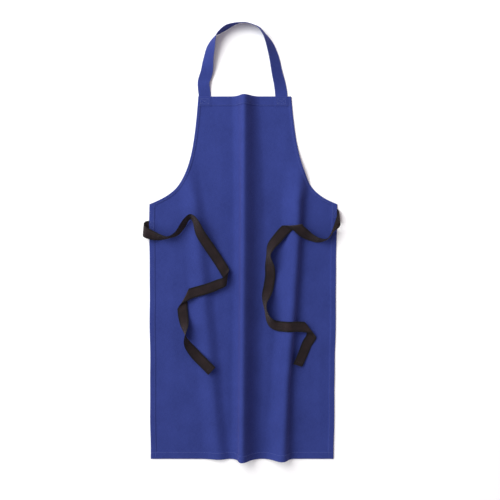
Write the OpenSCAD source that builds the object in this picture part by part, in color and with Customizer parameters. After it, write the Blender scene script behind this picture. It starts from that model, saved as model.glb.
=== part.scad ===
// Cotton welding apron with a bib, a neck loop and two waist ties.
// It lies on its back on a table: X runs across, Y runs up to the neck, Z is up.
// Fabric keeps its cut size: soft folds take up width as they rise off the table.

/* [Panel] */
// Length from the bib's top edge to the bottom hem
panel_length = 1067; // [1016:1:1118]
// Cut width of the skirt
skirt_width = 610; // [590:1:630]
// Cut width of the bib along its top edge
bib_width = 300; // [290:1:310]
// Depth of each armhole below the bib's top edge
armhole_depth = 317; // [300:1:330]
// Thickness of the cotton cloth
cloth = 0.8; // [0.6:0.1:1.0]

/* [Hems] */
// Depth of the hem across the top of the bib
top_hem = 27; // [24:1:40]
// Depth of the bottom hem
bottom_hem = 20; // [15:1:30]
// Width of the hem down each side of the skirt
side_hem = 15; // [10:1:20]
// Width of the rolled hem round each armhole
armhole_hem = 8; // [6:1:10]
// Diameter of the sewing thread
thread = 0.7; // [0.5:0.1:1.0]

/* [Folds] */
// Height of the fold down the middle
centre_fold = 39; // [30:1:40]
// Height of the fold on the left
left_fold = 11; // [6:1:20]
// Height of the fold on the right
right_fold = 26; // [18:1:28]

/* [Straps] */
// Width of the neck strap
strap_width = 35; // [30:1:38]
// Thickness of the neck strap, four layers of cloth pressed flat
strap_thick = 1.6; // [1.2:0.1:2.0]
// Width of the waist ties
tie_width = 30; // [25:1:32]
// Thickness of the waist tie tape
tie_thick = 1.2; // [0.8:0.1:1.4]

/* [Hidden] */

top_y = 424;                        // the bib's top edge, above the middle of the whole apron
bottom_y = top_y - panel_length;
waist_y = top_y - armhole_depth;
columns = 44;                       // equal steps across the cloth between the side hems
arm_rows = 12;                      // rows down the armhole curve
skirt_rows = 13;                    // rows from the waist to the bottom hem
hem_step = 2;                       // the hem's thickness fades over this distance
hem_layers = 2;                     // extra layers of cloth in a turned hem
ring_step = 10;                     // distance between the rings of a swept tape

// Folds: how each fold's crest and flanks change down the cloth, as [y, value] pairs.
centre_u = [[bottom_y, -8], [waist_y, -1], [top_y, 0]];
centre_x = [[bottom_y, -5.5], [top_y, 1]];
centre_h = [[bottom_y, 1.1], [waist_y, 1], [top_y, 0.84]];
centre_left = [[bottom_y, 62], [top_y, 54]];
centre_right = [[bottom_y, 76], [waist_y, 78], [top_y, 60]];
left_u = [[bottom_y, -103], [120, -173], [208, -186]];
left_h = [[bottom_y, 0.9], [-300, 0.95], [120, 1], [210, 0.4], [262, 0]];
left_flanks = [48, 38];             // how far the left fold reaches to its left and to its right
right_u = [[bottom_y, 137], [-410, 146], [-190, 163], [0, 174], [164, 178], [240, 180]];
right_h = [[bottom_y, 1.3], [-430, 1.1], [-300, 1.06], [0, 1.02], [120, 0.95], [240, 0.2], [290, 0]];
right_left = [[bottom_y, 68], [-430, 58]];
right_right = [[bottom_y, 56], [-430, 44]];
crest_round = [5, 10];              // rounding of the middle crest and of the other two

// Armhole: a Bezier curve of [depth below the top edge, distance out from the bib's edge].
arm_out = (skirt_width - bib_width) / 2;
arm_curve = [
    [0, 0],
    [0.76 * armhole_depth, 0.13 * arm_out],
    [0.87 * armhole_depth, 0.34 * arm_out],
    [armhole_depth, arm_out]
];

// Routes: each row is [x, y, z, direction of the tape's width in plan, its tilt], along the middle
// of the tape. The width's direction follows the crease where a tape folds over itself.
strap_route = [
    [-116, top_y - top_hem, 1.2, 0, 0],
    [-116, top_y - 10, 1.2, 0, 0],
    [-116, top_y + 6, 1.4, 0, 0],
    [-118, 448, 3, -2, 4],
    [-119, 466, 5, -5, 12],
    [-114, 482, 6, -20, 0],
    [-109, 499, 7, -15, 4],
    [-104, 536, 10, -12, 30],
    [-97, 568, 13, -18, 44],
    [-85, 597, 18, -38, 74],
    [-70, 611, 18, -50, 90],
    [-52, 623, 18, -60, 96],
    [-32, 632, 18, -74, 86],
    [-13, 637, 18, -84, 76],
    [10, 637, 17.5, -96, 74],
    [41, 626, 17.5, -120, 72],
    [58, 607, 17, -136, 69],
    [70, 588, 16, -147, 56],
    [79, 568, 14, -157, 44],
    [89, 536, 11, -165, 32],
    [97, 496, 9, -168, 24],
    [106, 458, 5, -172, 12],
    [110, top_y + 6, 1.4, -178, 0],
    [110, top_y - 10, 1.2, -180, 0],
    [110, top_y - top_hem, 1.2, -180, 0]
];
left_route = [
    [-261, 46, 1.2, 90, 0],
    [-270, 45, 1.2, 90, 0],
    [-280, 43, 1.6, 89, 0],
    [-290, 39, 5, 87, 0],
    [-295, 32, 14, 85, 0],
    [-286, 23, 24, 84, 5],
    [-264, 14, 24, 78, 30],
    [-242, 9, 20, 82, 60],
    [-220, 9, 18, 92, 78],
    [-197, 20, 17, 122, 68],
    [-180, 42, 18, 138, 60],
    [-168, 60, 24, 136, 66],
    [-155, 69, 26, 88, 62],
    [-142, 56, 29, 42, 52],
    [-127, 20, 26, 34, 22],
    [-104, -16, 15, 33, 5],
    [-80, -52, 8, 34, 5],
    [-64, -77, 8, 42, 5],
    [-54, -94, 9, 58, 3],
    [-48, -104, 14, 76, 4],
    [-51, -115, 21, 90, 18],
    [-60, -123, 24, 98, 26],
    [-76, -129, 20, 103, 14],
    [-98, -138, 17, 106, 3],
    [-124, -146, 18, 106, 0],
    [-149, -153, 17, 98, 2],
    [-163, -159, 17, 84, 2],
    [-173, -167, 14, 66, 0],
    [-179, -178, 8, 52, 0],
    [-181, -189, 5, 38, 0],
    [-181, -202, 5, 18, 3],
    [-179, -222, 6, 5, 6],
    [-176, -242, 10, 2, 24],
    [-174, -261, 16, 4, 56],
    [-172, -281, 18, 5, 92],
    [-166, -301, 17, 12, 124],
    [-154, -320, 14, 28, 148],
    [-138, -339, 15, 42, 165],
    [-117, -359, 20, 46, 177],
    [-94, -381, 25, 46, 181]
];
right_route = [
    [261, 79, 1.2, 90, 0],
    [268, 78, 1.2, 90, 0],
    [275, 76, 1.6, 91, 0],
    [280, 72, 5, 94, 0],
    [281, 65, 12, 98, 4],
    [276, 55, 18, 106, 22],
    [269, 42, 20, 124, 52],
    [260, 27, 19, 140, 72],
    [251, 11, 18, 136, 80],
    [240, 2, 18, 112, 80],
    [217, 1, 17, 86, 62],
    [191, 12, 18, 62, 42],
    [167, 27, 36, 46, 12],
    [155, 38, 41, 28, 2],
    [144, 43, 36, 8, 0],
    [132, 40, 28, -12, 4],
    [117, 28, 20, -33, 0],
    [98, 6, 13, -46, 12],
    [80, -16, 12, -40, 38],
    [72, -40, 17, -8, 66],
    [73, -61, 17, 4, 50],
    [76, -80, 10, 4, 22],
    [77, -105, 6, -4, 8],
    [72, -138, 7, -14, 8],
    [65, -162, 13, -14, 36],
    [61, -182, 17, -2, 66],
    [64, -205, 18, 14, 76],
    [72, -229, 16, 32, 58],
    [84, -245, 12, 62, 30],
    [100, -251, 12, 84, 8],
    [115, -252, 21, 88, 3],
    [132, -252, 31, 88, 0],
    [155, -252, 22, 90, 0],
    [176, -254, 14, 104, 0],
    [189, -257, 13, 118, 0],
    [197, -264, 10, 128, 0],
    [199, -274, 6, 138, 0],
    [196, -288, 4, 149, 0],
    [186, -304, 4, 158, 3],
    [174, -332, 8, 160, 14],
    [158, -366, 14, 160, 22]
];

// Where the free part of each tape starts, as a row of its route. The sewn part stops the slack
// before it and the free part starts the slack beyond it, both counted in rows.
left_hinge = 4;
right_hinge = 4;
strap_hinge = 1.7;
tie_slack = 0.15;
strap_slack = 0.1;

blue = [0.24, 0.30, 0.58];
thread_blue = [0.18, 0.22, 0.46];
black = [0.16, 0.14, 0.14];

// ---- small vector helpers ----
function unit(v) = v / norm(v);
function clamp01(t) = min(1, max(0, t));
function direction(plan, tilt) = [cos(tilt) * cos(plan), cos(tilt) * sin(plan), sin(tilt)];
function bezier(p, t) =
    pow(1 - t, 3) * p[0] + 3 * pow(1 - t, 2) * t * p[1] + 3 * (1 - t) * t * t * p[2] + pow(t, 3) * p[3];

// ---- cloth: half width of the cut, folds and the laid surface ----
function arm_point(t) = bezier(arm_curve, t);

// One fold's rise at a distance s from its crest: almost straight flanks like a tent's, a rounded
// crest and a foot that runs out flat. Each side has its own width.
function rise(s, left, right, round) =
    let (q = min(1, (sqrt(s * s + round * round) - round) / ((s < 0 ? left : right) - round)))
    pow(1 - q, 2) * (1 + 0.7 * q);

function cloth_z(u, y) =
    centre_fold * lookup(y, centre_h)
        * rise(u - lookup(y, centre_u), lookup(y, centre_left), lookup(y, centre_right), crest_round[0])
    + left_fold * lookup(y, left_h)
        * rise(u - lookup(y, left_u), left_flanks[0], left_flanks[1], crest_round[1])
    + right_fold * lookup(y, right_h)
        * rise(u - lookup(y, right_u), lookup(y, right_left), lookup(y, right_right), crest_round[1]);

// Rows down the panel, each [y, half width of the cut, width of the edge hem].
upper_rows = [
    for (i = [0:arm_rows]) let (p = arm_point(i / arm_rows))
        [top_y - p[0], bib_width / 2 + p[1], armhole_hem]
];
skirt_bottom = bottom_y + bottom_hem + hem_step;
lower_rows = [
    for (i = [1:skirt_rows]) let (y = waist_y + (skirt_bottom - waist_y) * i / skirt_rows)
        [y, skirt_width / 2, side_hem]
];
last_rows = [
    [bottom_y + bottom_hem, skirt_width / 2, side_hem],
    [bottom_y, skirt_width / 2, side_hem]
];

// Half of the cut's width beside the armhole, at a height between two of its rows.
function upper_half(y) =
    let (table = [for (i = [len(upper_rows) - 1:-1:0]) [upper_rows[i][0], upper_rows[i][1]]])
    lookup(y, table);

// All the rows: two of them bound the fade of the top hem, and the armhole's own start below it.
rows = concat(
    [
        for (y = [top_y, top_y - top_hem, top_y - top_hem - hem_step])
            [y, upper_half(y), armhole_hem]
    ],
    [for (i = [1:arm_rows]) if (upper_rows[i][0] < top_y - top_hem - 3 * hem_step) upper_rows[i]],
    lower_rows,
    last_rows
);

// Places across one row, from edge to edge of the cut.
function across(half, hem) = concat(
    [-half, -half + hem, -half + hem + hem_step],
    [for (i = [1:columns - 1]) (half - hem - hem_step) * (2 * i / columns - 1)],
    [half - hem - hem_step, half - hem, half]
);

// Extra thickness in the turned hems.
function hem_extra(u, y, half, hem) =
    let (side = clamp01((hem + hem_step - (half - abs(u))) / hem_step),
         top = clamp01((top_hem + hem_step - (top_y - y)) / hem_step),
         bottom = clamp01((bottom_hem + hem_step - (y - bottom_y)) / hem_step))
    hem_layers * cloth * max(side, top, bottom);

// The laid row: the cloth keeps its width along the folds, so x gains less where it climbs.
function laid(us, zs) =
    [for (i = 0, x = 0; i < len(us);
        x = x + (i < len(us) - 1 ? sqrt(pow(us[i + 1] - us[i], 2) - pow(zs[i + 1] - zs[i], 2)) : 0),
        i = i + 1) x];
function row_points(r) =
    let (us = across(r[1], r[2]),
         zs = [for (u = us) cloth_z(u, r[0])],
         xs = laid(us, zs),
         crest = lookup(lookup(r[0], centre_u), [for (i = [0:len(us) - 1]) [us[i], xs[i]]]),
         shift = lookup(r[0], centre_x) - crest)
    [for (i = [0:len(us) - 1]) [xs[i] + shift, zs[i], us[i]]];
function row_normal(p, i) =
    let (a = p[max(i - 1, 0)], b = p[min(i + 1, len(p) - 1)]) unit([a[1] - b[1], b[0] - a[0]]);

panel_rows = [for (r = rows) row_points(r)];
under_points = [for (j = [0:len(rows) - 1]) for (p = panel_rows[j]) [p[0], rows[j][0], p[1]]];
upper_points = [
    for (j = [0:len(rows) - 1]) let (r = rows[j], row = panel_rows[j])
        for (i = [0:len(row) - 1])
            let (p = row[i], n = row_normal(row, i), t = cloth + hem_extra(p[2], r[0], r[1], r[2]))
            [p[0] + n[0] * t, r[0], p[1] + n[1] * t]
];
points_across = columns + 5;

// Faces of a closed slab between two grids of points, the second one above the first.
function slab_faces(m, n, far) = concat(
    [for (j = [0:m - 2]) for (i = [0:n - 2]) let (a = j * n + i, b = a + 1, c = a + n, d = c + 1)
        each [[far + a, far + c, far + b], [far + b, far + c, far + d], [a, b, c], [b, d, c]]],
    [for (i = [0:n - 2]) each [[i, far + i, i + 1], [i + 1, far + i, far + i + 1]]],
    [for (i = [0:n - 2]) let (a = (m - 1) * n + i)
        each [[a, a + 1, far + a], [a + 1, far + a + 1, far + a]]],
    [for (j = [0:m - 2]) let (a = j * n) each [[a, a + n, far + a], [a + n, far + a + n, far + a]]],
    [for (j = [0:m - 2]) let (a = j * n + n - 1)
        each [[a, far + a, a + n], [a + n, far + a, far + a + n]]]
);

module panel()
    color(blue)
        polyhedron(
            points = concat(under_points, upper_points),
            faces = slab_faces(len(rows), points_across, len(under_points)),
            convexity = 10
        );

// A point on the panel's upper face, at a place u across the cut and y along it.
function on_panel(u, y, half, hem) =
    let (us = across(half, hem),
         p = row_points([y, half, hem]),
         x = lookup(u, [for (i = [0:len(us) - 1]) [us[i], p[i][0]]]),
         z = lookup(u, [for (i = [0:len(us) - 1]) [us[i], p[i][1]]]),
         dx = lookup(u + 3, [for (i = [0:len(us) - 1]) [us[i], p[i][0]]])
            - lookup(u - 3, [for (i = [0:len(us) - 1]) [us[i], p[i][0]]]),
         dz = lookup(u + 3, [for (i = [0:len(us) - 1]) [us[i], p[i][1]]])
            - lookup(u - 3, [for (i = [0:len(us) - 1]) [us[i], p[i][1]]]),
         n = unit([-dz, dx]),
         t = cloth + hem_extra(u, y, half, hem))
    [x + n[0] * t, y, z + n[1] * t];

// ---- swept threads ----
thread_sides = 6;
function ring(p, along, r) =
    let (side = unit(cross(along, [0, 0, 1])), up = cross(side, along))
    [for (k = [0:thread_sides - 1]) p + r * (cos(60 * k) * side + sin(60 * k) * up)];
function tube_points(path, r) = [
    for (i = [0:len(path) - 1])
        let (along = unit(path[min(i + 1, len(path) - 1)] - path[max(i - 1, 0)]))
        each ring(path[i], along, r)
];
function tube_faces(rings, n) = concat(
    [[for (k = [n - 1:-1:0]) k]],
    [for (j = [0:rings - 2]) for (k = [0:n - 1])
        let (a = j * n + k, b = j * n + (k + 1) % n) each [[a, b, b + n], [a, b + n, a + n]]],
    [[for (k = [0:n - 1]) (rings - 1) * n + k]]
);
module thread_run(path)
    color(thread_blue)
        polyhedron(points = tube_points(path, thread / 2), faces = tube_faces(len(path), thread_sides));

stitch_in = 2;                      // distance of each seam from the hem's inner fold

function hem_seam(y, half) = [
    for (i = [0:columns]) let (u = (half - stitch_in) * (2 * i / columns - 1))
        on_panel(u, y, half, side_hem)
];
module top_hem_thread()
    thread_run([
        for (i = [0:columns]) let (half = upper_half(top_y - top_hem + stitch_in))
            on_panel((half - stitch_in) * (2 * i / columns - 1), top_y - top_hem + stitch_in,
                half, armhole_hem)
    ]);
module bottom_hem_thread() thread_run(hem_seam(bottom_y + bottom_hem - stitch_in, skirt_width / 2));
module side_hem_thread(side)
    thread_run([
        for (j = [len(rows) - 1:-1:0]) if (rows[j][0] <= waist_y)
            on_panel(side * (skirt_width / 2 - side_hem + stitch_in), rows[j][0], skirt_width / 2, side_hem)
    ]);
module armhole_thread(side)
    thread_run([
        for (j = [len(rows) - 1:-1:0]) if (rows[j][0] > waist_y)
            on_panel(side * (rows[j][1] - armhole_hem + stitch_in), rows[j][0], rows[j][1], armhole_hem)
    ]);
module side_hem_thread_left() side_hem_thread(-1);
module side_hem_thread_right() side_hem_thread(1);
module armhole_thread_left() armhole_thread(-1);
module armhole_thread_right() armhole_thread(1);

// A box of stitches with a cross through it, which holds a strap or a tie in its hem.
module box_stitch(centre, size, z)
    translate([centre[0], centre[1], z])
        color(thread_blue) {
            for (s = [-1, 1]) {
                translate([s * size[0] / 2, 0, 0])
                    cube([thread, size[1] + thread, thread], center = true);
                translate([0, s * size[1] / 2, 0])
                    cube([size[0] + thread, thread, thread], center = true);
                rotate([0, 0, s * atan2(size[1], size[0])])
                    cube([norm(size), thread, thread], center = true);
            }
        }
hem_top = (1 + hem_layers) * cloth;
strap_box = [strap_width - 10, top_hem - 12];
tie_box = [side_hem - 5, tie_width - 8];
module neck_strap_thread_left() box_stitch([-116, top_y - top_hem / 2], strap_box, hem_top);
module neck_strap_thread_right() box_stitch([110, top_y - top_hem / 2], strap_box, hem_top);
module waist_tie_thread_left() box_stitch([-269, 45], tie_box, hem_top);
module waist_tie_thread_right() box_stitch([265, 78], tie_box, hem_top);

// ---- swept tapes ----
// A smooth curve through the route's rows, by Catmull-Rom.
function spline(a, b, c, d, t) =
    0.5 * (2 * b + (c - a) * t + (2 * a - 5 * b + 4 * c - d) * t * t
        + (3 * b - a - 3 * c + d) * t * t * t);
function route_row(route, k) = route[min(max(k, 0), len(route) - 1)];
function route_at(route, t) =
    let (k = min(floor(t), len(route) - 2))
    spline(route_row(route, k - 1), route_row(route, k), route_row(route, k + 1),
        route_row(route, k + 2), t - k);
function ring_count(route, k) =
    max(1, round(norm([for (i = [0:2]) route[k + 1][i] - route[k][i]]) / ring_step));
// Stations along the route between two of its rows, which may be fractions of a row.
function stations(route, first, last) =
    let (inner = [for (k = [floor(first):ceil(last) - 1]) let (n = ring_count(route, k))
        for (i = [0:n - 1]) if (k + i / n > first + 0.1 && k + i / n < last - 0.1) k + i / n])
    [for (t = concat([first], inner, [last])) route_at(route, t)];
function place(s) = [s[0], s[1], s[2]];

// Four corners of the tape at one station. The width's direction may lie askew, as at a crease,
// so it is drawn out until the tape's edges keep their distance.
function corners(list, i, width, thick) =
    let (p = place(list[i]),
         along = unit(place(list[min(i + 1, len(list) - 1)]) - place(list[max(i - 1, 0)])),
         w = direction(list[i][3], list[i][4]),
         face = cross(along, w),
         reach = width / 2 / max(0.6, norm(face)),
         n = unit(face) * thick / 2)
    [p - w * reach - n, p + w * reach - n, p + w * reach + n, p - w * reach + n];
// The tape's two wide faces are parted along the same diagonal, so they stay apart in a twist.
function tape_faces(rings) = concat(
    [[0, 1, 2, 3], [for (k = [3:-1:0]) (rings - 1) * 4 + k]],
    [for (j = [0:rings - 2]) for (k = [0:3])
        let (a = j * 4 + k, b = j * 4 + (k + 1) % 4)
        each k == 2 ? [[a, a + 4, b], [b, a + 4, b + 4]] : [[a, b + 4, b], [a, a + 4, b + 4]]]
);
module tape(list, width, thick)
    polyhedron(
        points = [for (i = [0:len(list) - 1]) each corners(list, i, width, thick)],
        faces = tape_faces(len(list)),
        convexity = 10
    );

last_strap = len(strap_route) - 1;
strap_loop = stations(strap_route, strap_hinge + strap_slack, last_strap - strap_hinge - strap_slack);
left_free = stations(left_route, left_hinge + tie_slack, len(left_route) - 1);
right_free = stations(right_route, right_hinge + tie_slack, len(right_route) - 1);

module neck_strap() color(blue) tape(strap_loop, strap_width, strap_thick);
module neck_strap_end_left()
    color(blue) tape(stations(strap_route, 0, strap_hinge - strap_slack), strap_width, strap_thick);
module neck_strap_end_right()
    color(blue)
        tape(stations(strap_route, last_strap - strap_hinge + strap_slack, last_strap),
            strap_width, strap_thick);
module waist_tie_left() color(black) tape(left_free, tie_width, tie_thick);
module waist_tie_right() color(black) tape(right_free, tie_width, tie_thick);
module waist_tie_end_left()
    color(black) tape(stations(left_route, 0, left_hinge - tie_slack), tie_width, tie_thick);
module waist_tie_end_right()
    color(black) tape(stations(right_route, 0, right_hinge - tie_slack), tie_width, tie_thick);

// Stitches across each tie's turned tip, and along both edges of the neck strap.
function edge_point(list, i, offset, thick) =
    let (c = corners(list, i, 2 * abs(offset), thick)) offset > 0 ? c[2] : c[3];
module tie_tip_thread(list)
    thread_run([for (f = [-1, -0.5, 0.5, 1])
        edge_point(list, len(list) - 2, f * (tie_width / 2 - stitch_in), tie_thick)]);
module tie_tip_thread_left() tie_tip_thread(left_free);
module tie_tip_thread_right() tie_tip_thread(right_free);
module neck_strap_topstitch()
    for (side = [-1, 1])
        thread_run([for (i = [1:len(strap_loop) - 2])
            edge_point(strap_loop, i, side * (strap_width / 2 - stitch_in), strap_thick)]);

panel();
neck_strap();
neck_strap_end_left();
neck_strap_end_right();
waist_tie_left();
waist_tie_right();
waist_tie_end_left();
waist_tie_end_right();
top_hem_thread();
bottom_hem_thread();
side_hem_thread_left();
side_hem_thread_right();
armhole_thread_left();
armhole_thread_right();
neck_strap_thread_left();
neck_strap_thread_right();
waist_tie_thread_left();
waist_tie_thread_right();
tie_tip_thread_left();
tie_tip_thread_right();
neck_strap_topstitch();
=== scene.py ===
import math

import bpy
import numpy as np
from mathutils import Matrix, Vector


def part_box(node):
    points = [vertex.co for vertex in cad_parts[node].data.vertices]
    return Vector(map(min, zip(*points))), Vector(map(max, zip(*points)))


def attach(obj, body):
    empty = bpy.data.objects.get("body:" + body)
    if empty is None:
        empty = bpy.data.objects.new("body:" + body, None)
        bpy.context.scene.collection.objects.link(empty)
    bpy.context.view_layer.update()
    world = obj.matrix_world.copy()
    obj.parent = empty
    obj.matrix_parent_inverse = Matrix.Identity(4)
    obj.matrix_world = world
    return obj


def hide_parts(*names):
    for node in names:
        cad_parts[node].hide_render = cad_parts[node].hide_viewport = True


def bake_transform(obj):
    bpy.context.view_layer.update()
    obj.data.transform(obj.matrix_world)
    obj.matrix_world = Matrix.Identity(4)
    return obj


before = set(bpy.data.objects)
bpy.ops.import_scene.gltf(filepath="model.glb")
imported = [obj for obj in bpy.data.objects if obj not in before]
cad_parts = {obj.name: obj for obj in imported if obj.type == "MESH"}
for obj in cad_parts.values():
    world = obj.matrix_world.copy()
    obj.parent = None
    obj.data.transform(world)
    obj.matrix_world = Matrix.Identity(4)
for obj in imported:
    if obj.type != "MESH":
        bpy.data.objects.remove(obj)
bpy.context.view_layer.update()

MM = 0.001


def node_box(node):
    """Lowest and highest corner of a CAD node in millimetres."""
    low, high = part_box(node)
    return np.array(low) / MM, np.array(high) / MM


panel_low, panel_high = node_box("panel")
top_y = round(panel_high[1])
bottom_y = round(panel_low[1])

# ---- camera: straight above the table, as far off as the picture's framing needs ----
camera_place = (17.7, -28, 2050)
camera_data = bpy.data.cameras.new("camera")
camera_data.lens = 50
camera_data.sensor_width = 36
camera = bpy.data.objects.new("camera", camera_data)
camera.location = Vector(camera_place) * MM
bpy.context.collection.objects.link(camera)
bpy.context.scene.camera = camera

# ---- the flat cut and its hems ----
cut_half = 305                      # half of the skirt's cut width
bib_half = 150                      # half of the bib's cut width along its top edge
armhole_depth = 317
waist_y = top_y - armhole_depth
cloth = 0.8                         # thickness of one layer
top_hem = 27
bottom_hem = 20
side_hem = 15
armhole_hem = 8
hem_layers = 2                      # extra layers in a turned hem
seam_in = 2                         # distance of each seam from the hem's inner fold

# ---- folds: crest place, height and reach, each as (y values, values) from the hem upward ----
centre_fold, left_fold, right_fold = 39, 11, 26
centre_u = ([bottom_y, waist_y, top_y], [-8, -1, 0])
centre_x = ([bottom_y, top_y], [-5.5, 1])
centre_h = ([bottom_y, waist_y, top_y], [1.1, 1, 0.84])
centre_left = ([bottom_y, top_y], [62, 54])
centre_right = ([bottom_y, waist_y, top_y], [76, 78, 60])
left_u = ([bottom_y, 120, 208], [-103, -173, -186])
left_h = ([bottom_y, -300, 120, 210, 262], [0.9, 0.95, 1, 0.4, 0])
left_reach = (48, 38)
right_u = ([bottom_y, -410, -190, 0, 164, 240], [137, 146, 163, 174, 178, 180])
right_h = ([bottom_y, -430, -300, 0, 120, 240, 290], [1.3, 1.1, 1.06, 1.02, 0.95, 0.2, 0])
right_left = ([bottom_y, -430], [68, 58])
right_right = ([bottom_y, -430], [56, 44])
crest_round = (5, 10)

# ---- tapes: each row is x, y, z, direction of the tape's width in plan, its tilt ----
strap_width, strap_thick = 35, 1.6
tie_width, tie_thick = 30, 1.2
strap_route = [
    (-116, top_y - top_hem, 1.2, 0, 0),
    (-116, top_y - 10, 1.2, 0, 0),
    (-116, top_y + 6, 1.4, 0, 0),
    (-118, 448, 3, -2, 4),
    (-119, 466, 5, -5, 12),
    (-114, 482, 6, -20, 0),
    (-109, 499, 7, -15, 4),
    (-104, 536, 10, -12, 30),
    (-97, 568, 13, -18, 44),
    (-85, 597, 18, -38, 74),
    (-70, 611, 18, -50, 90),
    (-52, 623, 18, -60, 96),
    (-32, 632, 18, -74, 86),
    (-13, 637, 18, -84, 76),
    (10, 637, 17.5, -96, 74),
    (41, 626, 17.5, -120, 72),
    (58, 607, 17, -136, 69),
    (70, 588, 16, -147, 56),
    (79, 568, 14, -157, 44),
    (89, 536, 11, -165, 32),
    (97, 496, 9, -168, 24),
    (106, 458, 5, -172, 12),
    (110, top_y + 6, 1.4, -178, 0),
    (110, top_y - 10, 1.2, -180, 0),
    (110, top_y - top_hem, 1.2, -180, 0),
]
left_route = [
    (-261, 46, 1.2, 90, 0),
    (-270, 45, 1.2, 90, 0),
    (-280, 43, 1.6, 89, 0),
    (-290, 39, 5, 87, 0),
    (-295, 32, 14, 85, 0),
    (-286, 23, 24, 84, 5),
    (-264, 14, 24, 78, 30),
    (-242, 9, 20, 82, 60),
    (-220, 9, 18, 92, 78),
    (-197, 20, 17, 122, 68),
    (-180, 42, 18, 138, 60),
    (-168, 60, 24, 136, 66),
    (-155, 69, 26, 88, 62),
    (-142, 56, 29, 42, 52),
    (-127, 20, 26, 34, 22),
    (-104, -16, 15, 33, 5),
    (-80, -52, 8, 34, 5),
    (-64, -77, 8, 42, 5),
    (-54, -94, 9, 58, 3),
    (-48, -104, 14, 76, 4),
    (-51, -115, 21, 90, 18),
    (-60, -123, 24, 98, 26),
    (-76, -129, 20, 103, 14),
    (-98, -138, 17, 106, 3),
    (-124, -146, 18, 106, 0),
    (-149, -153, 17, 98, 2),
    (-163, -159, 17, 84, 2),
    (-173, -167, 14, 66, 0),
    (-179, -178, 8, 52, 0),
    (-181, -189, 5, 38, 0),
    (-181, -202, 5, 18, 3),
    (-179, -222, 6, 5, 6),
    (-176, -242, 10, 2, 24),
    (-174, -261, 16, 4, 56),
    (-172, -281, 18, 5, 92),
    (-166, -301, 17, 12, 124),
    (-154, -320, 14, 28, 148),
    (-138, -339, 15, 42, 165),
    (-117, -359, 20, 46, 177),
    (-94, -381, 25, 46, 181),
]
right_route = [
    (261, 79, 1.2, 90, 0),
    (268, 78, 1.2, 90, 0),
    (275, 76, 1.6, 91, 0),
    (280, 72, 5, 94, 0),
    (281, 65, 12, 98, 4),
    (276, 55, 18, 106, 22),
    (269, 42, 20, 124, 52),
    (260, 27, 19, 140, 72),
    (251, 11, 18, 136, 80),
    (240, 2, 18, 112, 80),
    (217, 1, 17, 86, 62),
    (191, 12, 18, 62, 42),
    (167, 27, 36, 46, 12),
    (155, 38, 41, 28, 2),
    (144, 43, 36, 8, 0),
    (132, 40, 28, -12, 4),
    (117, 28, 20, -33, 0),
    (98, 6, 13, -46, 12),
    (80, -16, 12, -40, 38),
    (72, -40, 17, -8, 66),
    (73, -61, 17, 4, 50),
    (76, -80, 10, 4, 22),
    (77, -105, 6, -4, 8),
    (72, -138, 7, -14, 8),
    (65, -162, 13, -14, 36),
    (61, -182, 17, -2, 66),
    (64, -205, 18, 14, 76),
    (72, -229, 16, 32, 58),
    (84, -245, 12, 62, 30),
    (100, -251, 12, 84, 8),
    (115, -252, 21, 88, 3),
    (132, -252, 31, 88, 0),
    (155, -252, 22, 90, 0),
    (176, -254, 14, 104, 0),
    (189, -257, 13, 118, 0),
    (197, -264, 10, 128, 0),
    (199, -274, 6, 138, 0),
    (196, -288, 4, 149, 0),
    (186, -304, 4, 158, 3),
    (174, -332, 8, 160, 14),
    (158, -366, 14, 160, 22),
]


def unit(v):
    """Vectors along the last axis, each made 1 long."""
    return v / np.maximum(np.linalg.norm(v, axis=-1, keepdims=True), 1e-9)


def route_curve(route, step=2.5):
    """A smooth curve through a route's rows (Catmull-Rom), in steps of about `step` millimetres."""
    rows = np.array(route, float)
    padded = np.vstack([rows[:1], rows, rows[-1:]])
    pieces = []
    for k in range(len(rows) - 1):
        a, b, c, d = padded[k:k + 4]
        count = max(2, round(np.linalg.norm(c[:3] - b[:3]) / step))
        t = np.linspace(0, 1, count, endpoint=False)[:, None]
        pieces.append(0.5 * (2 * b + (c - a) * t + (2 * a - 5 * b + 4 * c - d) * t**2
                             + (3 * b - a - 3 * c + d) * t**3))
    return np.vstack(pieces + [rows[-1:]])


# ---- meshes ----
rim_bulge = 0.9                     # how far a shell's rim stands out, as a share of half its thickness


def make_object(name, vertices, faces, material, cloth_uv=None, wear=None):
    """A smooth-shaded mesh from millimetre points, with its place on the cloth stored for the weave."""
    mesh = bpy.data.meshes.new(name)
    mesh.from_pydata((np.asarray(vertices) * MM).tolist(), [], faces)
    mesh.shade_smooth()
    if cloth_uv is not None:
        attribute = mesh.attributes.new("cloth", "FLOAT_VECTOR", "POINT")
        attribute.data.foreach_set("vector", np.asarray(cloth_uv, np.float32).ravel())
    if wear is not None:
        attribute = mesh.attributes.new("wear", "FLOAT", "POINT")
        attribute.data.foreach_set("value", np.asarray(wear, np.float32).ravel())
    mesh.materials.append(material)
    obj = bpy.data.objects.new(name, mesh)
    bpy.context.collection.objects.link(obj)
    return obj


def outline_indices(rows, columns):
    """Indices round the edge of a grid of points, clockwise as seen from above."""
    top = [(0, i) for i in range(columns)]
    right = [(j, columns - 1) for j in range(1, rows)]
    bottom = [(rows - 1, i) for i in range(columns - 2, -1, -1)]
    left = [(j, 0) for j in range(rows - 2, 0, -1)]
    return top + right + bottom + left


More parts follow.
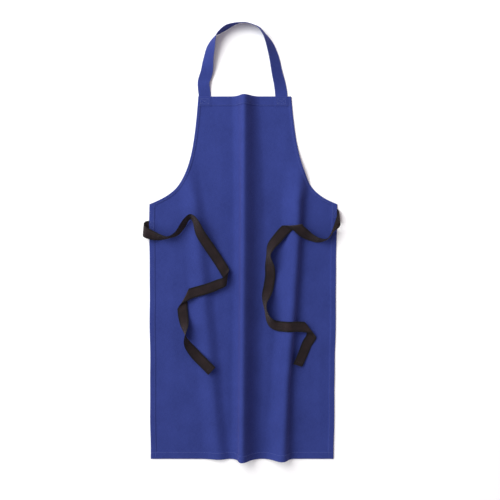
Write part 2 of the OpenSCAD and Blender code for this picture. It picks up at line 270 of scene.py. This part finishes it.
def cloth_shell(name, under, upper, material, uv, wear):
    """A closed piece of cloth between two grids of points, with a rounded rim round its edge."""
    rows, columns = under.shape[:2]
    count = rows * columns
    edge = outline_indices(rows, columns)
    inner = [(min(max(j, 1), rows - 2), min(max(i, 1), columns - 2)) for j, i in edge]
    j, i = np.array(edge).T
    inner_j, inner_i = np.array(inner).T
    low, high = under[j, i], upper[j, i]
    outward = unit((low + high - under[inner_j, inner_i] - upper[inner_j, inner_i]) / 2)
    half_thick = np.linalg.norm(high - low, axis=1, keepdims=True) / 2
    rim = (low + high) / 2 + outward * half_thick * rim_bulge
    vertices = np.vstack([under.reshape(-1, 3), upper.reshape(-1, 3), rim])
    grid = np.arange(count).reshape(rows, columns)
    a, b, c, d = (g.ravel() for g in (grid[:-1, :-1], grid[:-1, 1:], grid[1:, :-1], grid[1:, 1:]))
    faces = np.vstack([np.column_stack([a, b, d, c]), np.column_stack([a, c, d, b]) + count])
    low_edge = grid[j, i]
    mid_edge = 2 * count + np.arange(len(edge))
    for one, two in ((low_edge, mid_edge), (mid_edge, low_edge + count)):
        rim_faces = np.column_stack([one, two, np.roll(two, -1), np.roll(one, -1)])
        faces = np.vstack([faces, rim_faces])
    flat_uv = uv.reshape(-1, 3)
    flat_wear = wear.ravel()
    all_uv = np.vstack([flat_uv, flat_uv, flat_uv[low_edge]])
    all_wear = np.concatenate([flat_wear, flat_wear, flat_wear[low_edge]])
    return make_object(name, vertices, faces.tolist(), material, all_uv, all_wear)


def grid_normals(points):
    """Upward normals of a grid whose rows run down the cloth and whose columns run to the right."""
    down = np.gradient(points, axis=0)
    right = np.gradient(points, axis=1)
    return unit(np.cross(down, right))


def stitches(name, starts, ends, ups, material, radius=0.32):
    """Separate stitches of thread: each rises out of the cloth, lies along it and dips back in."""
    along_share = np.array([0, 0.1, 0.3, 0.7, 0.9, 1])
    girth = np.array([0.45, 0.9, 1, 1, 0.9, 0.45]) * radius
    lift = np.array([-0.5, 0, 0.25, 0.25, 0, -0.5]) * radius
    sides = 6
    turn = np.arange(sides) * 2 * math.pi / sides
    along = unit(ends - starts)
    side = unit(np.cross(along, ups))
    middle = (starts[:, None] * (1 - along_share)[None, :, None]
              + ends[:, None] * along_share[None, :, None] + ups[:, None] * lift[None, :, None])
    around = (np.cos(turn)[None, None, :, None] * side[:, None, None]
              + np.sin(turn)[None, None, :, None] * ups[:, None, None])
    points = middle[:, :, None] + around * girth[None, :, None, None]
    rings = len(along_share)
    each = rings * sides
    faces = []
    for r in range(rings - 1):
        for k in range(sides):
            a = r * sides + k
            b = r * sides + (k + 1) % sides
            faces.append((a, b, b + sides, a + sides))
    faces = np.array(faces)
    caps = [list(range(sides))[::-1], list(range(each - sides, each))]
    all_faces = []
    for n in range(len(starts)):
        all_faces += (faces + n * each).tolist()
        all_faces += [[k + n * each for k in cap] for cap in caps]
    # The thread's pattern is laid by the turn round it, the share along it and the stitch's own number.
    place = np.zeros((len(starts), rings, sides, 3))
    place[..., 0] = (turn / (2 * math.pi))[None, None, :]
    place[..., 1] = along_share[None, :, None]
    place[..., 2] = (np.arange(len(starts)) * 0.37)[:, None, None]
    return make_object(name, points.reshape(-1, 3), all_faces, material, place.reshape(-1, 3))


# ---- materials ----
class Nodes:
    """A short way to write a node tree: add() makes a node, sets its inputs and links what is linked."""

    def __init__(self, name):
        self.material = bpy.data.materials.new(name)
        self.material.use_nodes = True
        self.tree = self.material.node_tree
        self.shader = self.tree.nodes["Principled BSDF"]

    def set(self, node, inputs):
        for key, value in inputs.items():
            if isinstance(value, bpy.types.NodeSocket):
                self.tree.links.new(value, node.inputs[key])
            else:
                node.inputs[key].default_value = value

    def add(self, kind, inputs=None, **settings):
        node = self.tree.nodes.new("ShaderNode" + kind)
        for key, value in settings.items():
            setattr(node, key, value)
        self.set(node, inputs or {})
        return node.outputs[0]

    def math(self, operation, first, second=0.0):
        return self.add("Math", {0: first, 1: second}, operation=operation)

    def attribute(self, name, output):
        node = self.tree.nodes.new("ShaderNodeAttribute")
        node.attribute_name = name
        return node.outputs[output]

    def axes(self, vector):
        node = self.tree.nodes.new("ShaderNodeSeparateXYZ")
        self.tree.links.new(vector, node.inputs[0])
        return node.outputs

    def noise(self, vector, scale, detail=3.0, roughness=0.6):
        return self.add("TexNoise", {"Vector": vector, "Scale": scale, "Detail": detail,
                                     "Roughness": roughness})

    def mix(self, factor, first, second, blend="MIX"):
        node = self.tree.nodes.new("ShaderNodeMix")
        node.data_type = "RGBA"
        node.blend_type = blend
        self.set(node, {0: factor, 6: first, 7: second})
        return node.outputs[2]

    def spread(self, value, low, high, out_low=0.0, out_high=1.0):
        return self.add("MapRange", {0: value, 1: low, 2: high, 3: out_low, 4: out_high})

    def bump(self, height, distance, strength=1.0, normal=None):
        inputs = {"Height": height, "Distance": distance, "Strength": strength}
        if normal is not None:
            inputs["Normal"] = normal
        return self.add("Bump", inputs)


def stretched(nodes, vector, scale):
    """The place on the cloth, scaled differently across and along it."""
    return nodes.add("VectorMath", {0: vector, 1: scale}, operation="MULTIPLY")


def twill(nodes, across, along, wale):
    """Height of a twill weave: slanting ribs, cut into floats by the weft."""
    slant = nodes.math("ADD", across, nodes.math("MULTIPLY", along, 0.7))
    rib = nodes.math("SINE", nodes.math("MULTIPLY", slant, 2 * math.pi / wale))
    weft = nodes.math("SINE", nodes.math("MULTIPLY", nodes.math("SUBTRACT", along, across),
                                         2 * math.pi / (wale * 0.55)))
    return nodes.math("ADD", nodes.math("MULTIPLY", rib, 0.7), nodes.math("MULTIPLY", weft, 0.3))


def cotton_cloth():
    """Dyed cotton twill: slanting ribs, uneven yarns, faint fading and paler worn edges."""
    nodes = Nodes("cotton_cloth")
    place = nodes.attribute("cloth", "Vector")
    wear = nodes.attribute("wear", "Fac")
    axes = nodes.axes(place)
    weave = twill(nodes, axes[0], axes[1], 0.0009)
    warp_yarns = nodes.noise(stretched(nodes, place, (2200, 90, 1)), 1.0, 2.0)
    weft_yarns = nodes.noise(stretched(nodes, place, (110, 1900, 1)), 1.0, 2.0)
    yarns = nodes.math("ADD", warp_yarns, weft_yarns)
    cloudy = nodes.noise(place, 14.0, 4.0, 0.55)
    flecks = nodes.noise(place, 320.0, 3.0, 0.7)
    deep = (0.0155, 0.0255, 0.148, 1)
    full = (0.021, 0.0335, 0.182, 1)
    faded = (0.041, 0.065, 0.27, 1)
    base = nodes.mix(nodes.spread(cloudy, 0.32, 0.68), deep, full)
    base = nodes.mix(nodes.spread(yarns, 0.75, 1.25, 0.0, 0.5), base, faded)
    shade = nodes.spread(nodes.math("ADD", weave, nodes.math("MULTIPLY", flecks, 0.8)), -0.6, 1.3,
                         0.78, 1.12)
    tone = nodes.add("CombineColor", {0: shade, 1: shade, 2: shade})
    base = nodes.mix(1.0, base, tone, "MULTIPLY")
    rubbed = nodes.math("MULTIPLY", wear, nodes.spread(flecks, 0.35, 0.65, 0.25, 1.0))
    base = nodes.mix(rubbed, base, faded)
    wrinkled = nodes.noise(stretched(nodes, place, (60, 34, 1)), 1.0, 4.0, 0.6)
    normal = nodes.bump(wrinkled, 0.0022, 0.35)
    normal = nodes.bump(yarns, 0.00012, 0.5, normal)
    normal = nodes.bump(weave, 0.00010, 0.8, normal)
    nodes.set(nodes.shader, {
        "Base Color": base, "Normal": normal, "Roughness": nodes.spread(flecks, 0.3, 0.7, 0.82, 0.96),
        "Specular IOR Level": 0.2, "Sheen Weight": 0.1, "Sheen Roughness": 0.45,
        "Sheen Tint": (0.45, 0.34, 0.9, 1),
    })
    return nodes.material


def tie_tape():
    """Black cotton tape in a herringbone weave, a little brown, and darker along its edges."""
    nodes = Nodes("tie_tape")
    place = nodes.attribute("cloth", "Vector")
    wear = nodes.attribute("wear", "Fac")
    axes = nodes.axes(place)
    chevron = nodes.math("PINGPONG", axes[0], 0.0035)
    ribs = nodes.math("SINE", nodes.math("MULTIPLY", nodes.math("ADD", chevron, axes[1]),
                                         2 * math.pi / 0.0014))
    fuzz = nodes.noise(place, 900.0, 3.0, 0.75)
    patches = nodes.noise(place, 40.0, 3.0, 0.5)
    dark = (0.0080, 0.0046, 0.0050, 1)
    light = (0.024, 0.0137, 0.0145, 1)
    mixed = nodes.math("ADD", nodes.math("MULTIPLY", ribs, 0.22), nodes.math("ADD", fuzz, patches))
    base = nodes.mix(nodes.spread(mixed, 0.7, 1.4), dark, light)
    base = nodes.mix(nodes.math("MULTIPLY", wear, 0.9), base, (0.0035, 0.0028, 0.0032, 1))
    normal = nodes.bump(fuzz, 0.0002, 0.5)
    normal = nodes.bump(ribs, 0.00018, 0.9, normal)
    nodes.set(nodes.shader, {
        "Base Color": base, "Normal": normal, "Roughness": nodes.spread(fuzz, 0.3, 0.7, 0.85, 0.98),
        "Specular IOR Level": 0.2, "Sheen Weight": 0.12, "Sheen Roughness": 0.5,
        "Sheen Tint": (0.75, 0.66, 0.7, 1),
    })
    return nodes.material


def sewing_thread(name, dark, light):
    """Spun thread: two plies that wind round each other along every stitch."""
    nodes = Nodes(name)
    place = nodes.attribute("cloth", "Vector")
    axes = nodes.axes(place)
    winding = nodes.math("ADD", nodes.math("MULTIPLY", axes[0], 2.0),
                         nodes.math("MULTIPLY", axes[1], 3.0))
    plies = nodes.math("SINE", nodes.math("MULTIPLY", winding, 2 * math.pi))
    uneven = nodes.noise(place, 3.0, 2.0)
    tone = nodes.math("ADD", nodes.math("MULTIPLY", plies, 0.25), uneven)
    nodes.set(nodes.shader, {
        "Base Color": nodes.mix(nodes.spread(tone, 0.2, 0.9), dark, light),
        "Normal": nodes.bump(plies, 0.0001, 0.8),
        "Roughness": nodes.spread(uneven, 0.3, 0.7, 0.55, 0.75),
        "Specular IOR Level": 0.35, "Sheen Weight": 0.1,
    })
    return nodes.material


blue_cotton = cotton_cloth()
black_tape = tie_tape()
blue_thread = sewing_thread("sewing_thread", (0.040, 0.058, 0.22, 1), (0.10, 0.135, 0.38, 1))
black_thread = sewing_thread("black_thread", (0.009, 0.008, 0.009, 1), (0.035, 0.03, 0.032, 1))


# ---- tapes: flat ribbons swept along their routes ----
least_square = 0.85                 # keeps the corners of a sharp twist from sticking out
across_share = np.array([-1, -0.96, -0.85, -0.6, -0.3, 0, 0.3, 0.6, 0.85, 0.96, 1])


class Ribbon:
    """A flat tape: its middle line, the direction of its width and its normal at every station."""

    def __init__(self, route, width, thick):
        curve = route_curve(route)
        self.middle = curve[:, :3]
        self.width = width
        self.thick = thick
        steps = np.linalg.norm(np.diff(self.middle, axis=0), axis=1)
        self.run = np.concatenate([[0], np.cumsum(steps)])
        along = unit(np.gradient(self.middle, axis=0))
        plan, tilt = np.radians(curve[:, 3]), np.radians(curve[:, 4])
        self.side = np.column_stack([np.cos(tilt) * np.cos(plan), np.cos(tilt) * np.sin(plan),
                                     np.sin(tilt)])
        face = np.cross(along, self.side)
        square = np.linalg.norm(face, axis=1, keepdims=True)
        self.normal = face / square
        # Where the width slants to the run, it reaches further, so that the tape keeps its true width.
        self.reach = width / 2 / np.maximum(least_square, square)

    def points(self, share, lift):
        """Points at a share of the half width, lifted off the middle of the tape."""
        return self.middle + self.side * self.reach * share + self.normal * lift

    def length(self):
        return float(self.run[-1])

    def shell(self, name, material, edge_thin=0.4, extra=None, wear=None):
        """The tape's closed mesh. extra(run, share) adds to half its thickness."""
        share, run = np.meshgrid(across_share, self.run)
        rounded = np.interp(np.abs(share), [0, 0.9, 1], [1, 0.92, edge_thin])
        half = self.thick / 2 * rounded + (0 if extra is None else extra(run, share))
        centre = self.middle[:, None] + self.side[:, None] * self.reach[:, None] * share[..., None]
        offset = self.normal[:, None] * half[..., None]
        uv = np.stack([share * self.width / 2, run, 0 * run], axis=-1) * MM
        worn = np.zeros_like(run) if wear is None else wear(run, share)
        return cloth_shell(name, centre - offset, centre + offset, material, uv, worn)


def pitched(run, pitch, gap=0.22):
    """Starts and ends of the stitches along a line of that length."""
    count = int((run[-1] - run[0]) / pitch)
    starts = run[0] + (np.arange(count) + gap / 2) * pitch
    return starts, starts + pitch * (1 - gap)


def at(run, points, places):
    """Points part of the way along a line, by the distance run."""
    return np.column_stack([np.interp(places, run, points[:, k]) for k in range(3)])


def line_stitches(line, ups, pitch):
    """Starts, ends and upward directions of the stitches along one line."""
    steps = np.linalg.norm(np.diff(line, axis=0), axis=1)
    run = np.concatenate([[0], np.cumsum(steps)])
    starts, ends = pitched(run, pitch)
    return at(run, line, starts), at(run, line, ends), unit(at(run, ups, (starts + ends) / 2))


def sew(name, lines, material, pitch=3.0):
    """One mesh of all the stitches along several lines, each a pair of points and normals."""
    parts = [line_stitches(line, ups, pitch) for line, ups in lines]
    starts, ends, ups = (np.vstack([part[k] for part in parts]) for k in range(3))
    return stitches(name, starts, ends, ups, material)


def tip_extra(ribbon, depth=12):
    """The turned tip: half as thick again over its last stretch, with a soft step."""
    def extra(run, share):
        from_tip = ribbon.length() - run
        return 0.35 * np.clip((depth + 2 - from_tip) / 2, 0, 1)
    return extra


def selvedge(ribbon):
    """The denser, darker weave along the tape's two edges and at its tip."""
    def wear(run, share):
        tip = np.clip(1 - (ribbon.length() - run) / 4, 0, 1)
        return np.clip(np.clip((np.abs(share) - 0.74) / 0.1, 0, 1) + 0.5 * tip, 0, 1)
    return wear


tip_seam_in = 10                    # distance of a tie's last seam from its tip


def make_tie(side, route, slant):
    """One waist tie with the stitches across its turned tip. The slant argument is not used."""
    ribbon = Ribbon(route, tie_width, tie_thick)
    tie = ribbon.shell("waist_tie_" + side + "_tape", black_tape,
                       extra=tip_extra(ribbon), wear=selvedge(ribbon))
    row = np.argmin(np.abs(ribbon.length() - tip_seam_in - ribbon.run))
    lines = []
    for face in (-1, 1):
        height = face * (tie_thick / 2 + 0.35)
        line = np.array([ribbon.middle[row] + ribbon.side[row] * ribbon.reach[row] * share
                         + ribbon.normal[row] * height for share in np.linspace(-0.9, 0.9, 25)])
        lines.append((line, np.tile(face * ribbon.normal[row], (25, 1))))
    tip = sew("tie_tip_stitches_" + side, lines, black_thread, 2.6)
    body = side + "_tie"
    slant = Vector(slant).normalized()
    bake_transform(tie)
    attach(tip, body)
    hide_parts("waist_tie_" + side, "waist_tie_end_" + side)
    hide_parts("tie_tip_thread_" + side)


make_tie("left", left_route, (0.3, -0.2, 0.93))
make_tie("right", right_route, (-0.3, -0.2, 0.93))

# ---- neck strap: the apron's own cloth folded to four layers, stitched along both edges ----
strap = Ribbon(strap_route, strap_width, strap_thick)


def strap_extra(run, share):
    """The folded edges are full and the two rows of stitches pull the strap thin."""
    from_edge = (1 - np.abs(share)) * strap_width / 2
    groove = -0.22 * np.exp(-((from_edge - seam_in) / 1.0) ** 2)
    pucker = 0.1 * np.sin(run * 2 * math.pi / 11 + 2 * share) * np.clip((np.abs(share) - 0.5) * 2, 0, 1)
    return groove + pucker


def strap_wear(run, share):
    """The strap is paler along its two folded edges."""
    return 0.55 * np.clip((np.abs(share) - 0.88) / 0.12, 0, 1)


neck_strap = strap.shell("neck_strap_cloth", blue_cotton, edge_thin=0.75, extra=strap_extra,
                         wear=strap_wear)
seam_share = 1 - 2 * seam_in / strap_width
strap_lines = [
    (strap.points(edge * seam_share, face * (strap_thick / 2 - 0.15)), face * strap.normal)
    for edge in (-1, 1) for face in (-1, 1)
]
strap_stitches = sew("neck_strap_stitches", strap_lines, blue_thread)
for piece in (neck_strap, strap_stitches):
    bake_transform(piece)
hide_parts("neck_strap", "neck_strap_end_left", "neck_strap_end_right")
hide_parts("neck_strap_topstitch")

# ---- panel: the flat cut, laid over its folds ----
# Armhole: a Bezier curve of (depth below the top edge, distance out from the bib's edge).
arm_out = cut_half - bib_half
arm_curve = np.array([
    (0, 0),
    (0.76 * armhole_depth, 0.13 * arm_out),
    (0.87 * armhole_depth, 0.34 * arm_out),
    (armhole_depth, arm_out),
])


def arm_points(t):
    """Points of the armhole's curve, at shares of it from the top edge down."""
    t = np.asarray(t)[:, None]
    a, b, c, d = arm_curve
    return (1 - t)**3 * a + 3 * (1 - t)**2 * t * b + 3 * (1 - t) * t * t * c + t**3 * d


arm_table = arm_points(np.linspace(0, 1, 201))
arm_y = top_y - arm_table[::-1, 0]
arm_half = bib_half + arm_table[::-1, 1]
arm_slope = np.gradient(arm_half, -arm_y)
arm_end = arm_slope[0]


def half_width(y):
    """Half of the cut's width at that height."""
    return np.interp(y, arm_y, arm_half)


def arm_distance(u, y):
    """Distance in from the armhole's edge, carried on straight past its lower end."""
    edge = half_width(y) + np.maximum(0, waist_y - y) * arm_end
    slope = np.interp(y, arm_y, arm_slope)
    return (edge - np.abs(u)) / np.sqrt(1 + slope**2)


def rise(s, left, right, round_off):
    """A fold's rise beside its crest: nearly straight flanks, a rounded crest and a flat foot."""
    reach = np.where(s < 0, left, right)
    q = np.minimum(1, (np.sqrt(s * s + round_off**2) - round_off) / (reach - round_off))
    return (1 - q)**2 * (1 + 0.7 * q)


def fold_height(u, y):
    """Height of the laid cloth's underside above the table."""
    middle = centre_fold * np.interp(y, *centre_h) * rise(
        u - np.interp(y, *centre_u), np.interp(y, *centre_left), np.interp(y, *centre_right),
        crest_round[0])
    left = left_fold * np.interp(y, *left_h) * rise(
        u - np.interp(y, *left_u), *left_reach, crest_round[1])
    right = right_fold * np.interp(y, *right_h) * rise(
        u - np.interp(y, *right_u), np.interp(y, *right_left), np.interp(y, *right_right),
        crest_round[1])
    return middle + left + right


# Long shallow creases down the cloth: (place across at y 0, lean, from y, to y, reach, height).
creases = [
    (-232, 0.03, -560, 40, 17, 1.3),
    (-208, -0.02, -330, 90, 12, 0.8),
    (-92, 0.02, -250, 380, 16, 0.9),
    (-52, 0.06, -600, -60, 14, 0.9),
    (62, -0.03, -120, 330, 13, 0.9),
    (92, 0.02, -520, -150, 16, 1.0),
    (236, 0.04, -480, 60, 18, 1.3),
    (262, 0.0, -610, -200, 11, 0.7),
    (118, 0.05, 120, 400, 15, 1.0),
]


def soft_creases(u, y):
    """Height of the long shallow creases, each a rounded ridge that fades out at both its ends."""
    total = 0
    for place, lean, low, high, reach, height in creases:
        beside = (u - place - lean * y) / reach
        along = np.clip((y - low) * (high - y) / ((high - low) / 2)**2, 0, 1)
        total = total + height * np.exp(-beside**2) * along
    return total


def ripple(u, y):
    """Faint waves in the lying cloth, as (length, direction in degrees, start, height)."""
    waves = [(150, 12, 0.3, 0.45), (96, 74, 1.9, 0.3), (210, 118, 4.0, 0.5), (63, 155, 2.7, 0.16)]
    total = 0
    for length, heading, start, height in waves:
        turn = math.radians(heading)
        path = u * math.cos(turn) + y * math.sin(turn)
        total = total + height * (0.5 + 0.5 * np.sin(path * 2 * math.pi / length + start))
    return total


least_gain = 0.2                    # even the steepest cloth gains this share of its width across


def lay_row(us, y):
    """Where one row of the cut lies: x gains less where the cloth climbs, so its width is kept."""
    u = np.linspace(-1, 1, 401) * half_width(y)
    z = fold_height(u, y)
    gain = np.sqrt(np.maximum(np.diff(u)**2 - np.diff(z)**2, (least_gain * np.diff(u))**2))
    x = np.concatenate([[0], np.cumsum(gain)])
    x += np.interp(y, *centre_x) - np.interp(np.interp(y, *centre_u), u, x)
    return np.interp(us, u, x), np.interp(us, u, z)


hem_step = 2.4                      # distance over which a hem's inner fold dies away
groove_deep, groove_wide = 0.3, 1.1
ledge_high, ledge_wide = 1.2, 7


def hem_at(distance, width):
    """One hem by the distance in from its edge: its extra thickness, the groove that its seam pulls,
    and how far the cloth beside it is lifted off the table by the turned edge."""
    thick = hem_layers * cloth * np.clip((width + hem_step / 2 - distance) / hem_step, 0, 1)
    groove = groove_deep * np.exp(-((distance - width + seam_in) / groove_wide) ** 2)
    ledge = ledge_high * np.clip(1 - (distance - width) / ledge_wide, 0, 1) ** 2
    return thick, groove, ledge * (distance > width + 0.4)


def hems(u, y):
    """Extra thickness, seam groove and ledge of all the hems at a place on the cut."""
    side = np.where(y < waist_y + 12, cut_half - np.abs(u), 999.0)
    parts = [hem_at(side, side_hem), hem_at(arm_distance(u, y), armhole_hem),
             hem_at(top_y - y, top_hem), hem_at(y - bottom_y, bottom_hem)]
    thick, groove, ledge = (np.max([part[k] for part in parts], axis=0) for k in range(3))
    return thick, groove, np.where(thick > 0.1, 0, ledge)


def soft_box(x, y, centre, size, soft=2.5):
    """1 inside a rectangle, fading to 0 over a short distance outside it."""
    out_x = np.abs(x - centre[0]) - size[0] / 2
    out_y = np.abs(y - centre[1]) - size[1] / 2
    return np.clip(1 - np.maximum(out_x, out_y) / soft, 0, 1)


# The sewn ends of the strap and of the ties, which lie under the hems: (middle, size, thickness).
strap_end_size = (strap_width, top_hem + 2)
tie_end_size = (22, tie_width)
sewn_ends = {
    "strap_left": ((strap_route[0][0], top_y - top_hem / 2), strap_end_size, strap_thick),
    "strap_right": ((strap_route[-1][0], top_y - top_hem / 2), strap_end_size, strap_thick),
    "tie_left": ((-271, 46), tie_end_size, tie_thick),
    "tie_right": ((267, 78.5), tie_end_size, tie_thick),
}

# Distances in from an edge where the columns and rows of the mesh are set close, round a seam.
near_seam = np.array([-3, -2, -1, 0, 1.2, 3, 6])
near_edge = np.array([0, 0.06, 0.2, 0.45, 0.75])


def hem_places(width):
    """Distances in from an edge for the rows or columns of a hem of that width and its seam."""
    return np.concatenate([near_edge * (width - 3), width + near_seam])


def panel_rows():
    """Heights of the mesh's rows, from the top edge to the bottom one."""
    top = top_y - hem_places(top_hem)
    arm = top_y - arm_points(np.linspace(0.02, 1, 78))[:, 0]
    arm = arm[arm < top[-1] - 3]
    bottom = bottom_y + hem_places(bottom_hem)[::-1]
    skirt = np.linspace(waist_y, bottom[0] + 3, 150)[1:]
    return np.concatenate([top, arm, skirt, bottom])


ys = panel_rows()
inner_columns = 128


def row_places(y):
    """Places across one row of the cut, close together in the hems at both edges."""
    slope = np.sqrt(1 + np.interp(y, arm_y, arm_slope)**2)
    below = np.clip((waist_y - y) / 25 + 0.2, 0, 1)
    hem = hem_places(armhole_hem) * slope * (1 - below) + hem_places(side_hem) * below
    half = half_width(y)
    inner = np.linspace(-half + hem[-1], half - hem[-1], inner_columns + 1)[1:-1]
    return np.concatenate([-half + hem, inner, (half - hem)[::-1]])


us = np.array([row_places(y) for y in ys])
yy = np.repeat(ys[:, None], us.shape[1], axis=1)
laid = np.array([lay_row(row, y) for row, y in zip(us, ys)])
# The two long edges wander by up to 0.8 mm.
edge_wave = 0.5 * np.sin(yy / 41 + 1) + 0.3 * np.sin(yy / 23)
across = us / cut_half
base = np.stack([laid[:, 0] + edge_wave * across**3, yy,
                 laid[:, 1] + ripple(us, yy) + soft_creases(us, yy)], axis=-1)
thick, groove, ledge = hems(us, yy)
bulge = np.max([soft_box(base[..., 0], yy, middle, size) * high
                for middle, size, high in sewn_ends.values()], axis=0)
up = grid_normals(base)
# Grooves and sewn ends show on both faces, a little differently on each.
under = base + up * (ledge + 0.7 * groove + 0.85 * bulge)[..., None]
upper = base + up * (cloth + thick - 0.8 * groove + 0.6 * bulge)[..., None]

# The cloth is paler along its edges, and a little on the highest crest.
nearest_edge = np.min([arm_distance(us, yy), cut_half - np.abs(us), top_y - yy, yy - bottom_y], axis=0)
crest = np.clip((base[..., 2] - 26) / 14, 0, 1)
wear = np.clip(0.25 * np.exp(-np.maximum(nearest_edge, 0) / 1.6) + 0.12 * crest, 0, 1)
panel_uv = np.stack([us, yy, 0 * us], axis=-1) * MM
panel = cloth_shell("panel_cloth", under, upper, blue_cotton, panel_uv, wear)
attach(panel, "apron")
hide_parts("panel")


# ---- seams of the panel ----
upper_normals = grid_normals(upper)


def on_face(face, places):
    """Points of a face of the panel at places on the cut, each (u, y)."""
    found = []
    for u, y in places:
        j = int(np.clip(np.searchsorted(-ys, -y), 1, len(ys) - 1))
        share = (ys[j - 1] - y) / (ys[j - 1] - ys[j])
        ends = [[np.interp(u, us[k], face[k, :, axis]) for axis in range(3)] for k in (j - 1, j)]
        found.append((1 - share) * np.array(ends[0]) + share * np.array(ends[1]))
    return np.array(found)


def both_faces(places):
    """The line of a seam on the front and on the back, with the way up on each."""
    ups = unit(on_face(upper_normals, places))
    return [(on_face(upper, places) + 0.1 * ups, ups), (on_face(under, places) - 0.05 * ups, -ups)]


def straight(start, end, step=4):
    """Points along a straight line, about `step` millimetres apart."""
    count = max(3, int(math.dist(start, end) / step))
    return np.linspace(start, end, count)


def box_and_cross(centre, size):
    """The lines of a box of stitches with a cross through it."""
    x, y = np.array(size) / 2
    corners = [np.array(centre) + np.array(k) for k in ((-x, -y), (x, -y), (x, y), (-x, y))]
    pairs = [(0, 1), (1, 2), (2, 3), (3, 0), (0, 2), (1, 3)]
    return [straight(corners[a], corners[b]) for a, b in pairs]


def cut_place(point):
    """The place on the cut of a point on the table, (x, y)."""
    x, y = point
    j = int(np.argmin(np.abs(ys - y)))
    return float(np.interp(x, base[j, :, 0], us[j])), y


def seam(name, node, lines):
    """The stitches of one seam on both faces of the panel, in place of a CAD thread."""
    piece = sew(name, [pair for line in lines for pair in both_faces(line)], blue_thread)
    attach(piece, "apron")
    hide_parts(node)


top_seam_y = top_y - top_hem + seam_in
top_seam_half = float(half_width(top_seam_y)) - seam_in
seam("top_hem_stitches", "top_hem_thread",
     [straight((-top_seam_half, top_seam_y), (top_seam_half, top_seam_y))])
bottom_seam_y = bottom_y + bottom_hem - seam_in
seam("bottom_hem_stitches", "bottom_hem_thread",
     [straight((seam_in - cut_half, bottom_seam_y), (cut_half - seam_in, bottom_seam_y))])
arm_seam_y = np.linspace(top_y - 1, waist_y + 1, 160)
arm_seam_in = (armhole_hem - seam_in) * np.sqrt(1 + np.interp(arm_seam_y, arm_y, arm_slope)**2)
arm_seam_u = half_width(arm_seam_y) - arm_seam_in
for side, sign in (("left", -1), ("right", 1)):
    edge_u = sign * (cut_half - side_hem + seam_in)
    seam("side_hem_stitches_" + side, "side_hem_thread_" + side,
         [straight((edge_u, waist_y + 3), (edge_u, bottom_y + 1))])
    seam("armhole_stitches_" + side, "armhole_thread_" + side,
         [np.column_stack([sign * arm_seam_u, arm_seam_y])])
    strap_middle = sewn_ends["strap_" + side][0]
    tie_middle = sewn_ends["tie_" + side][0]
    seam("neck_strap_end_stitches_" + side, "neck_strap_thread_" + side,
         box_and_cross(cut_place(strap_middle), (strap_width - 10, top_hem - 12)))
    seam("waist_tie_end_stitches_" + side, "waist_tie_thread_" + side,
         box_and_cross(cut_place(tie_middle), (side_hem - 5, tie_width - 8)))

# ---- floor, light and backdrop ----
floor_half = 8                      # metres, as is the next value
floor_height = -0.0006
floor_corners = [(x * floor_half, y * floor_half, floor_height)
                 for x, y in ((-1, -1), (1, -1), (1, 1), (-1, 1))]
floor_mesh = bpy.data.meshes.new("floor")
floor_mesh.from_pydata(floor_corners, [], [(0, 1, 2, 3)])
floor = bpy.data.objects.new("floor", floor_mesh)
bpy.context.collection.objects.link(floor)
paper = Nodes("floor_paper")
paper_noise = paper.noise(paper.add("TexCoord"), 40.0, 2.0)
paper.set(paper.shader, {
    "Base Color": paper.mix(paper_noise, (0.93, 0.93, 0.93, 1), (0.95, 0.95, 0.95, 1)),
    "Roughness": 0.9, "Specular IOR Level": 0.1,
})
floor_mesh.materials.append(paper.material)

# The camera sees plain white past the floor, while the cloth is lit by a dimmer, faintly pink sky.
world = bpy.data.worlds.new("studio")
world.use_nodes = True
backdrop = world.node_tree.nodes["Background"]
backdrop.inputs["Color"].default_value = (1.0, 0.9, 0.95, 1)
backdrop.inputs["Strength"].default_value = 0.48
seen = world.node_tree.nodes.new("ShaderNodeBackground")
seen.inputs["Color"].default_value = (1, 1, 1, 1)
chooser = world.node_tree.nodes.new("ShaderNodeMixShader")
ray = world.node_tree.nodes.new("ShaderNodeLightPath")
surface = world.node_tree.nodes["World Output"].inputs["Surface"]
for one, two in ((ray.outputs["Is Camera Ray"], chooser.inputs[0]),
                 (backdrop.outputs[0], chooser.inputs[1]),
                 (seen.outputs[0], chooser.inputs[2]), (chooser.outputs[0], surface)):
    world.node_tree.links.new(one, two)
bpy.context.scene.world = world


def lamp(name, kind, strength):
    """A lamp of that kind, still to be placed and turned."""
    data = bpy.data.lights.new(name, kind)
    data.energy = strength
    obj = bpy.data.objects.new(name, data)
    bpy.context.collection.objects.link(obj)
    return obj


key_heading, key_height = 172, 42   # degrees round the table and above it
key_light = lamp("key_light", "SUN", 1.7)
key_light.data.angle = math.radians(50)
key_light.data.color = (0.95, 1.02, 1.0)
key_light.rotation_euler = (0, math.radians(90 - key_height), math.radians(key_heading))

near_light = lamp("near_light", "AREA", 80)
near_light.data.size = 2.0
near_light.location = (-1.6, 1.6, 2.1)
aim = Vector((0, 0.2, 0)) - near_light.location
near_light.rotation_euler = aim.to_track_quat("-Z", "Y").to_euler()
bpy.context.scene.view_settings.view_transform = "Standard"
